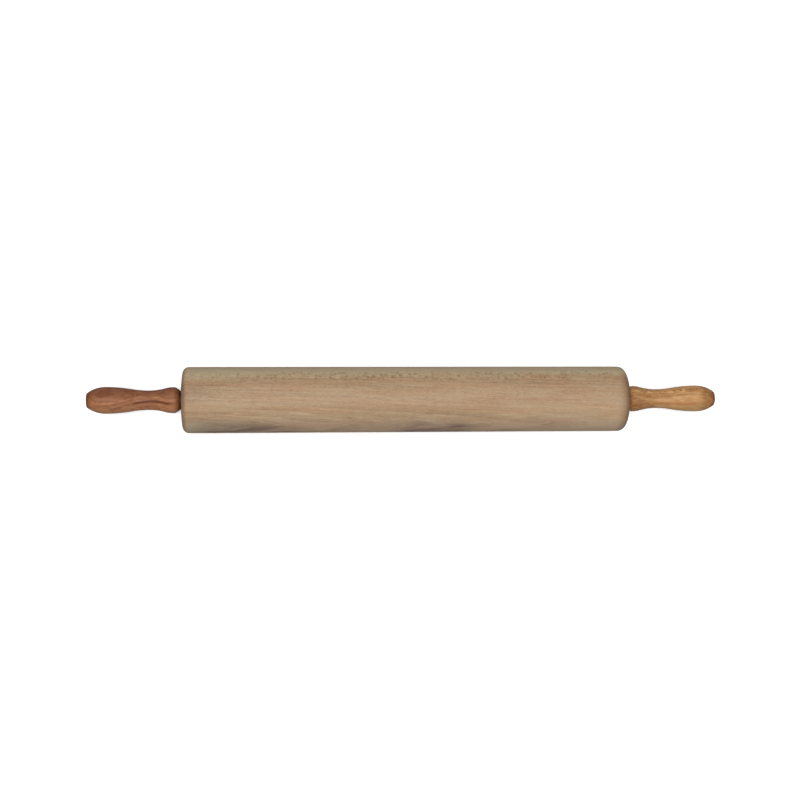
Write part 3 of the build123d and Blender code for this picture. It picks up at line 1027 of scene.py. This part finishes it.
class TURNED_OT_stage(bpy.types.Operator):
    """Lay the pale floor and set up the soft studio lights and the camera"""

    bl_idname = "rolling_pin.stage"
    bl_label = "Stage"

    def execute(self, context):
        stage = context.scene.pin_stage
        self.lay_floor(context.scene, stage)
        self.set_lights(context.scene, stage)
        self.set_camera(context.scene, stage)
        context.scene.view_settings.view_transform = "Standard"
        return {"FINISHED"}

    def lay_floor(self, scene, stage):
        half = stage.floor_size / 2
        low = CAD_BOX[0].z
        corners = [(-half, -half, low), (half, -half, low), (half, half, low), (-half, half, low)]
        mesh = bpy.data.meshes.new("floor")
        mesh.from_pydata(corners, [], [(0, 1, 2, 3)])
        finish = Finish("floor_paper")
        grain = finish.noise(finish.places(), PAPER_GRAIN, detail=3.0)
        paper = finish.blend(grain * PAPER_FLECK_DEPTH, tuple(stage.floor), PAPER_FLECK)
        seen = finish.node("ShaderNodeLightPath", None, None, "Is Camera Ray")
        finish.set(Base_Color=finish.blend(seen, (stage.bounce,) * 3, paper), Roughness=0.9,
                   Emission_Color=finish.blend(seen, (0, 0, 0), (1, 1, 1)),
                   Emission_Strength=stage.floor_glow)
        mesh.materials.append(finish.material)
        floor = bpy.data.objects.new("floor", mesh)
        scene.collection.objects.link(floor)

    def set_lights(self, scene, stage):
        """Broad soft lights, so far off that the whole floor is lit alike."""
        back = self.camera_side(stage)[0]
        to_left = Vector((-math.sin(stage.swing), 0, 0))
        lamps = {
            "key_light": (back, stage.key, stage.key_spread),
            "side_light": (Vector((0, 1, math.tan(stage.side_height))) + to_left, stage.side,
                           stage.side_spread),
        }
        for name, (towards, strength, spread) in lamps.items():
            light = bpy.data.lights.new(name, "SUN")
            light.energy, light.angle = strength * math.pi, spread
            lamp = bpy.data.objects.new(name, light)
            lamp.rotation_euler = towards.to_track_quat("Z", "Y").to_euler()
            scene.collection.objects.link(lamp)
        room = Backdrop("studio")
        seen = room.node("ShaderNodeLightPath", None, None, "Is Camera Ray")
        room.set(Color=(1, 1, 1), Strength=seen * (1 - stage.room) + stage.room)
        scene.world = room.world

    def camera_side(self, stage):
        """The camera's own axes: backwards, to the right and upwards."""
        along = Vector((1, 0, 0))
        outward = Vector((0, -math.cos(stage.height), math.sin(stage.height)))
        back = outward * math.cos(stage.swing) - along * math.sin(stage.swing)
        level = along * math.cos(stage.swing) + outward * math.sin(stage.swing)
        upright = back.cross(level)
        right = level * math.cos(stage.roll) - upright * math.sin(stage.roll)
        up = upright * math.cos(stage.roll) + level * math.sin(stage.roll)
        return back, right, up

    def set_camera(self, scene, stage):
        """Stands the camera so that the axle lies across the picture, with its small turns."""
        back, right, up = self.camera_side(stage)
        data = bpy.data.cameras.new("camera")
        data.sensor_width, data.lens = SENSOR_WIDTH, stage.focal
        pixel = SENSOR_WIDTH / PICTURE_SIDE / data.lens * stage.distance
        middle = PICTURE_SIDE / 2
        place = (back * stage.distance - right * (stage.centre[0] - middle) * pixel
                 + up * (stage.centre[1] - middle) * pixel)
        camera = bpy.data.objects.new("camera", data)
        turn = Matrix((right, up, back)).transposed().to_4x4()
        camera.matrix_world = Matrix.Translation(place) @ turn
        scene.collection.objects.link(camera)
        scene.camera = camera


class TURNED_PT_panel(bpy.types.Panel):
    """Lists the operators and their sizes"""

    bl_label = "Rolling Pin"
    bl_space_type = "VIEW_3D"
    bl_region_type = "UI"
    bl_category = "Rolling Pin"

    def draw(self, context):
        for operator in OPERATORS:
            self.layout.operator(operator.bl_idname)
        for name in GROUPS:
            box = self.layout.box()
            box.label(text=name.replace("_", " "))
            group = getattr(context.scene, name)
            for field in group.__annotations__:
                box.prop(group, field)


OPERATORS = (TURNED_OT_barrel, TURNED_OT_handles, TURNED_OT_fittings, TURNED_OT_stage)
GROUPS = {
    "pin_barrel": BarrelSizes,
    "pin_barrel_wood": BarrelWood,
    "pin_handle": HandleSizes,
    "pin_left_wood": LeftHandleWood,
    "pin_right_wood": RightHandleWood,
    "pin_fittings": FittingColours,
    "pin_stage": StageSizes,
}
CLASSES = (*GROUPS.values(), *OPERATORS, TURNED_PT_panel)


def register():
    for cls in CLASSES:
        bpy.utils.register_class(cls)
    for name, cls in GROUPS.items():
        setattr(bpy.types.Scene, name, PointerProperty(type=cls))


def unregister():
    for name in GROUPS:
        delattr(bpy.types.Scene, name)
    for cls in reversed(CLASSES):
        bpy.utils.unregister_class(cls)


def main():
    register()
    bpy.ops.rolling_pin.barrel()
    bpy.ops.rolling_pin.handles()
    bpy.ops.rolling_pin.fittings()
    bpy.ops.rolling_pin.stage()


if __name__ == "__main__":
    main()
